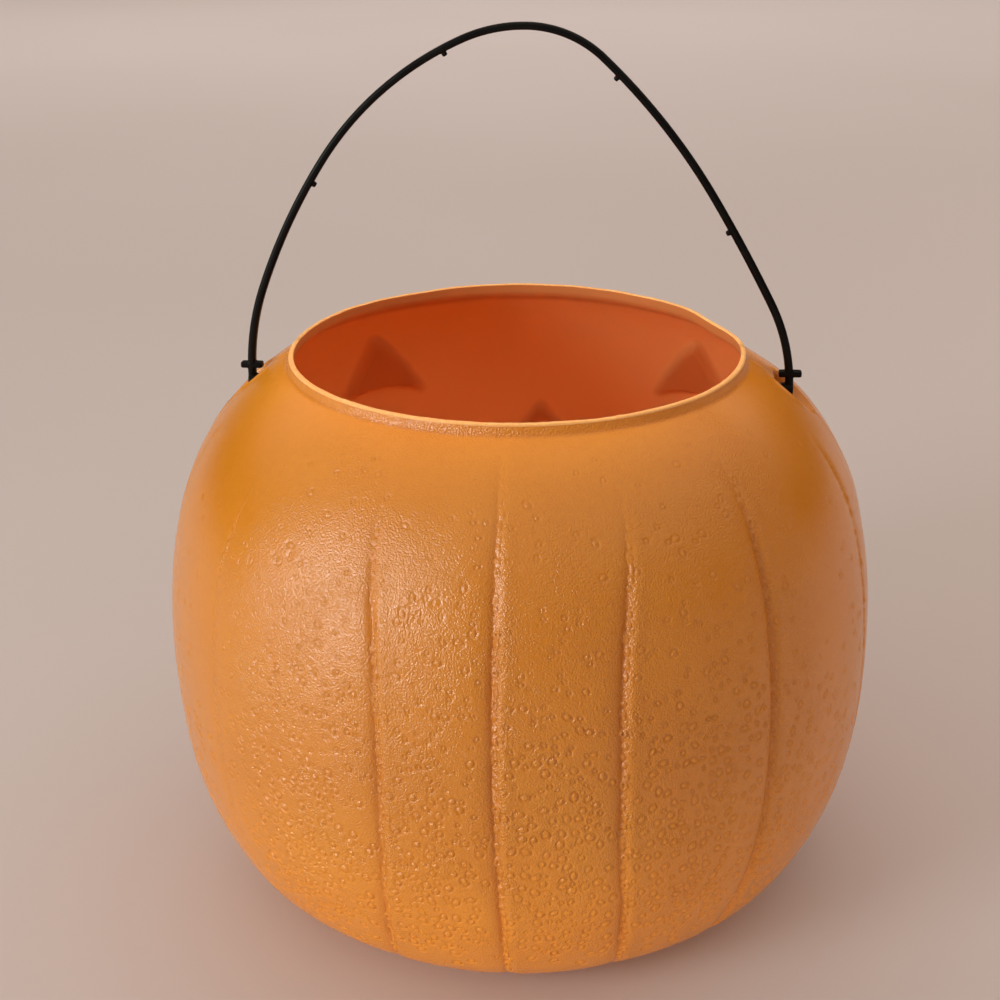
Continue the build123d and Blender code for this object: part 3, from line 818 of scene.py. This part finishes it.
for side in (1, -1):
    lx = leg[side]
    o, i = lx + STRAP_T / 2, lx - STRAP_T / 2
    turned(side, [(o, END_R - 0.6), (o - 0.12, END_R - 0.25), (o - 0.45, END_R), (i + 0.45, END_R), (i + 0.12, END_R - 0.25), (i, END_R - 0.6)])
    turned(side, [(lx, SHOULDER_R), (POCKET_X + GAP + 0.25, SHOULDER_R), (POCKET_X + GAP, SHOULDER_R - 0.25)])
    turned(side, [(lx, PEG_R), (POCKET_X - WALL - GAP - 0.6, PEG_R)])
    head = POCKET_X - WALL - GAP
    turned(side, [(head, HEAD_R - 0.25), (head - 0.2, HEAD_R), (head - 0.6, HEAD_R - 0.15), (head - HEAD_L + 0.3, 1.45), (head - HEAD_L, 1.1)])
    bar = section(BAR_T, STRAP_D, 0.55, 5)
    steps = [(BAR_IN, 0.72), (BAR_IN + 0.15, 0.88), (BAR_IN + 0.5, 1.0), (BAR_OUT - 0.5, 1.0), (BAR_OUT - 0.15, 0.88), (BAR_OUT, 0.72)]
    loft([[(side * x, q * f * side, BAR_Z + p * f) for p, q in bar] for x, f in steps])
for nx, nz in NUBS:
    k = int(np.argmin(np.hypot(hx - nx, hz - nz)))
    tx, tz = math.cos(hh[k]), math.sin(hh[k])
    ox, oz = math.sin(hh[k]), -math.cos(hh[k])
    nub = section(NUB_L, NUB_D, 0.5, 4)
    loft([[(hx[k] - ox * e + tx * p * f, q * f, hz[k] - oz * e + tz * p * f) for p, q in nub]
          for e, f in ((STRAP_T / 2 - 0.8, 1.0), (STRAP_T / 2 + NUB_H - 0.35, 0.95), (STRAP_T / 2 + NUB_H - 0.1, 0.8), (STRAP_T / 2 + NUB_H, 0.55))])
hv = np.concatenate(H_verts)
raw = make_mesh("handle_raw", hv, np.concatenate([np.array(f) for f in H_faces]), np.array([len(f) for f in H_faces]))
# one skin: the pieces above are fused into a single moulding
fuse = raw.modifiers.new("fuse", "REMESH")
fuse.mode = "VOXEL"
fuse.voxel_size = 0.24 * MM
fuse.use_smooth_shade = True
relax = raw.modifiers.new("relax", "SMOOTH")
relax.factor, relax.iterations = 0.5, 3
bpy.context.view_layer.update()
done = bpy.data.meshes.new_from_object(raw.evaluated_get(bpy.context.evaluated_depsgraph_get()))
bpy.data.objects.remove(raw)
done.name = "bail_strap"
bail = bpy.data.objects.new("bail_strap", done)
bpy.context.scene.collection.objects.link(bail)
done.polygons.foreach_set("use_smooth", np.ones(len(done.polygons), bool))
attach(bail, "bail")
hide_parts("handle")


# ------------------------------------------------------------------ materials
class Nodes:
    def __init__(self, name):
        self.mat = bpy.data.materials.new(name)
        self.mat.use_nodes = True
        self.tree = self.mat.node_tree
        self.bsdf = next(n for n in self.tree.nodes if n.type == "BSDF_PRINCIPLED")
        self.where = self.tree.nodes.new("ShaderNodeTexCoord").outputs["Object"]

    def node(self, kind, **inputs):
        n = self.tree.nodes.new(kind)
        for key, value in inputs.items():
            if key in ("operation", "blend_type", "data_type", "attribute_name", "feature", "interpolation_type"):
                setattr(n, key, value)
        return n

    def link(self, a, b):
        self.tree.links.new(a, b)

    def noise(self, scale, detail=2.0, rough=0.5, distort=0.0):
        n = self.tree.nodes.new("ShaderNodeTexNoise")
        n.inputs["Scale"].default_value = scale
        n.inputs["Detail"].default_value = detail
        n.inputs["Roughness"].default_value = rough
        n.inputs["Distortion"].default_value = distort
        self.link(self.where, n.inputs["Vector"])
        return n.outputs["Fac"]

    def ramp(self, source, stops):
        n = self.tree.nodes.new("ShaderNodeValToRGB")
        e = n.color_ramp.elements
        while len(e) < len(stops):
            e.new(0.5)
        for el, (pos, col) in zip(e, stops):
            el.position = pos
            el.color = (*col, 1.0) if len(col) == 3 else col
        self.link(source, n.inputs["Fac"])
        return n.outputs["Color"]

    def span(self, source, a, b, c, d):
        n = self.tree.nodes.new("ShaderNodeMapRange")
        for key, value in zip(("From Min", "From Max", "To Min", "To Max"), (a, b, c, d)):
            n.inputs[key].default_value = value
        self.link(source, n.inputs["Value"])
        return n.outputs["Result"]

    def mix(self, factor, a, b, mode="MIX"):
        n = self.tree.nodes.new("ShaderNodeMix")
        n.data_type = "RGBA"
        n.blend_type = mode
        ins = [s for s in n.inputs if s.type == "RGBA"]
        fac = next(s for s in n.inputs if s.type == "VALUE")
        for sock, value in ((fac, factor), (ins[0], a), (ins[1], b)):
            if hasattr(value, "links"):
                self.link(value, sock)
            else:
                sock.default_value = value if sock is fac else (*value, 1.0)
        return next(s for s in n.outputs if s.type == "RGBA")

    def product(self, a, b):
        n = self.tree.nodes.new("ShaderNodeMath")
        n.operation = "MULTIPLY"
        self.link(a, n.inputs[0])
        self.link(b, n.inputs[1])
        return n.outputs[0]

    def attribute(self, name):
        n = self.tree.nodes.new("ShaderNodeAttribute")
        n.attribute_name = name
        return n.outputs["Fac"]

    def bump(self, height, strength, distance, normal=None):
        n = self.tree.nodes.new("ShaderNodeBump")
        n.inputs["Strength"].default_value = strength
        n.inputs["Distance"].default_value = distance
        self.link(height, n.inputs["Height"])
        if normal is not None:
            self.link(normal, n.inputs["Normal"])
        return n.outputs["Normal"]

    def set(self, **values):
        for key, value in values.items():
            self.bsdf.inputs[key.replace("_", " ")].default_value = value


def srgb(r, g, b):
    return tuple(((c / 255 + 0.055) / 1.055) ** 2.4 if c > 10 else c / 255 / 12.92 for c in (r, g, b))


def orange_outside():
    m = Nodes("orange_outside")
    slow = m.noise(14.0, 3.0, 0.55)
    colour = m.ramp(slow, [(0.30, srgb(223, 135, 29)), (0.52, srgb(227, 140, 33)), (0.74, srgb(231, 146, 37))])
    fine_spots = m.noise(420.0, 3.0, 0.6)
    colour = m.mix(m.span(fine_spots, 0.35, 0.75, 0.0, 0.22), colour, srgb(210, 115, 22))
    # painted shade: the orange is darker at the bottom of grooves and rings and in the collar's crease
    low = m.span(m.attribute("painted_shade"), -1.8, -0.15, 0.35, 0.0)
    colour = m.mix(low, colour, srgb(188, 90, 20))
    m.link(colour, m.bsdf.inputs["Base Color"])
    m.link(m.span(m.noise(60.0, 4.0, 0.6), 0.3, 0.7, 0.18, 0.25), m.bsdf.inputs["Roughness"])
    grain = m.product(m.noise(1600.0, 1.0, 0.5), m.attribute("peel"))
    peel = m.bump(grain, 1.0, 0.00044)
    peel = m.bump(m.noise(3200.0, 2.0, 0.6), 0.60, 0.00007, peel)
    m.link(peel, m.bsdf.inputs["Normal"])
    m.set(Specular_IOR_Level=0.9)
    return m.mat


def orange_inside():
    m = Nodes("orange_inside")
    slow = m.noise(9.0, 3.0, 0.55)
    colour = m.ramp(slow, [(0.32, srgb(246, 170, 104)), (0.55, srgb(248, 175, 109)), (0.76, srgb(250, 180, 114))])
    # painted shade: the inside is darker where less light comes through the wall, behind the painted face and just
    # under the lip
    shade = m.span(m.attribute("painted_shade"), -1.0, 3.0, 0.80, 0.0)
    colour = m.mix(shade, colour, srgb(200, 112, 56))
    m.link(colour, m.bsdf.inputs["Base Color"])
    m.link(m.span(m.noise(45.0, 4.0, 0.6), 0.3, 0.7, 0.46, 0.58), m.bsdf.inputs["Roughness"])
    m.link(m.bump(m.noise(260.0, 3.0, 0.55), 0.18, 0.0002), m.bsdf.inputs["Normal"])
    m.set(Specular_IOR_Level=0.08)
    return m.mat


def trimmed_edge():
    m = Nodes("trimmed_edge")
    scratch = m.noise(700.0, 3.0, 0.6)
    colour = m.ramp(scratch, [(0.30, srgb(244, 172, 96)), (0.62, srgb(249, 186, 114)), (0.85, srgb(253, 200, 136))])
    m.link(colour, m.bsdf.inputs["Base Color"])
    m.link(m.bump(m.noise(1500.0, 3.0, 0.6), 0.5, 0.0001), m.bsdf.inputs["Normal"])
    m.set(Roughness=0.6, Specular_IOR_Level=0.35)
    return m.mat


def black_paint():
    m = Nodes("sprayed_black")
    cloud = m.noise(160.0, 4.0, 0.6)
    colour = m.ramp(cloud, [(0.32, (0.006, 0.006, 0.006)), (0.60, (0.012, 0.011, 0.010)), (0.85, (0.022, 0.019, 0.017))])
    m.link(colour, m.bsdf.inputs["Base Color"])
    m.link(m.span(m.noise(90.0, 3.0, 0.6), 0.3, 0.7, 0.34, 0.50), m.bsdf.inputs["Roughness"])
    m.link(m.bump(m.noise(1500.0, 2.0, 0.55), 0.25, 0.00008), m.bsdf.inputs["Normal"])
    m.set(Specular_IOR_Level=0.5)
    return m.mat


def black_plastic():
    m = Nodes("moulded_black")
    cloud = m.noise(120.0, 3.0, 0.55)
    colour = m.ramp(cloud, [(0.30, (0.003, 0.0027, 0.0024)), (0.62, (0.005, 0.0045, 0.004)), (0.86, (0.009, 0.008, 0.007))])
    m.link(colour, m.bsdf.inputs["Base Color"])
    m.link(m.span(m.noise(200.0, 3.0, 0.6), 0.3, 0.7, 0.28, 0.40), m.bsdf.inputs["Roughness"])
    m.link(m.bump(m.noise(900.0, 2.0, 0.5), 0.15, 0.00006), m.bsdf.inputs["Normal"])
    m.set(Specular_IOR_Level=0.12)
    return m.mat


def paper():
    m = Nodes("pale_floor")
    cloud = m.noise(1.1, 2.0, 0.5)
    colour = m.ramp(cloud, [(0.30, srgb(206, 193, 190)), (0.70, srgb(209, 197, 195))])
    m.link(colour, m.bsdf.inputs["Base Color"])
    m.set(Roughness=0.7, Specular_IOR_Level=0.15)
    return m.mat


for ob, mats_of in ((shell, (orange_outside(), orange_inside(), trimmed_edge())), (bail, (black_plastic(),))):
    ob.data.materials.clear()
    for mat in mats_of:
        ob.data.materials.append(mat)
shell.data.polygons.foreach_set("material_index", np.concatenate(mats).astype(np.int32))
paint = black_paint()
for ob in films:
    ob.data.materials.append(paint)

# ------------------------------------------------------------------ floor, light, camera
round_about = np.linspace(0, 2 * math.pi, 96, endpoint=False)
floor = make_mesh("floor", np.stack([12000 * np.cos(round_about), 12000 * np.sin(round_about), np.full(96, -0.1)], -1), np.arange(96), np.array([96]))
floor.data.materials.append(paper())


def area(name, place, aim, size, power, colour, tall=None, spread=180.0, gloss=True):
    light = bpy.data.lights.new(name, "AREA")
    light.energy, light.color, light.spread = power, colour, math.radians(spread)
    if tall:
        light.shape, light.size, light.size_y = "RECTANGLE", size, tall
    else:
        light.size = size
    ob = bpy.data.objects.new(name, light)
    bpy.context.scene.collection.objects.link(ob)
    ob.location = place
    ob.rotation_euler = (Vector(aim) - Vector(place)).to_track_quat("-Z", "Y").to_euler()
    ob.visible_glossy = gloss
    return ob


area("window", (1.12, 0.93, 0.47), (0.02, 0.05, 0.11), 0.52, 10.8, (0.91, 1.0, 1.0), 0.64)
area("bounce", (-1.15, -0.55, 0.38), (0.0, 0.0, 0.1), 0.8, 1.6, (1.0, 0.76, 0.58), 0.6, gloss=False)
area("face_fill", (0.6, -3.3, 1.7), (0.0, 0.0, 0.1), 2.0, 8.0, (1.0, 0.95, 0.90), 1.4, gloss=False)
glint = area("window_glint", (1.12, 0.93, 0.47), (0.02, 0.05, 0.11), 0.46, 5.0, (0.88, 1.0, 1.10), 0.58)
glint.visible_diffuse = False
area("low_card", (0.04, 0.66, 0.045), (0.0, 0.1, 0.012), 0.8, 0.085, (1.0, 0.94, 0.82), 0.06, 16.0, False)
area("backdrop", (0.0, -3.0, 2.2), (0.0, -3.1, 0.0), 8.0, 42.0, (0.97, 0.98, 1.0), 3.0, gloss=False)
over = bpy.data.lights.new("over_mouth", "SPOT")
over.energy, over.color, over.spot_size, over.spot_blend, over.shadow_soft_size = 42.0, (1.0, 0.90, 0.80), math.radians(9.0), 0.30, 0.03
over_ob = bpy.data.objects.new("over_mouth", over)
bpy.context.scene.collection.objects.link(over_ob)
over_ob.visible_glossy = False
over_ob.location = (0.08, 0.06, 1.25)
over_ob.rotation_euler = (Vector((0.0, 0.0, 0.19)) - Vector(over_ob.location)).to_track_quat("-Z", "Y").to_euler()
sky = bpy.data.lights.new("skylight", "SUN")
sky.energy, sky.angle, sky.color = 1.38, math.radians(135.0), (1.0, 0.89, 0.76)
sky_ob = bpy.data.objects.new("skylight", sky)
bpy.context.scene.collection.objects.link(sky_ob)
sky_ob.rotation_euler = Vector((0.0, 0.0, -1.0)).to_track_quat("-Z", "Y").to_euler()
world = bpy.data.worlds.new("studio")
world.use_nodes = True
world.node_tree.nodes["Background"].inputs["Color"].default_value = (1.0, 0.82, 0.68, 1.0)
world.node_tree.nodes["Background"].inputs["Strength"].default_value = 0.17
bpy.context.scene.world = world
world.cycles_visibility.glossy = False
bpy.context.scene.view_settings.view_transform = "Standard"

cam = bpy.data.cameras.new("photo_view")
cam.lens, cam.sensor_width, cam.sensor_fit = 54.0, 36.0, "HORIZONTAL"
cam.clip_start, cam.clip_end = 0.02, 60.0
cam_ob = bpy.data.objects.new("photo_view", cam)
bpy.context.scene.collection.objects.link(cam_ob)
right = Vector((-0.99545082, -0.09430448, -0.0135769))
up = Vector((0.02539264, -0.39993999, 0.91618951))
ahead = Vector((0.09183071, -0.91167685, -0.40051523))
turn = Matrix((right, up, -ahead)).transposed().to_4x4()
cam_ob.matrix_world = Matrix.Translation((-0.043526, 0.497505, 0.356924)) @ turn
bpy.context.scene.camera = cam_ob
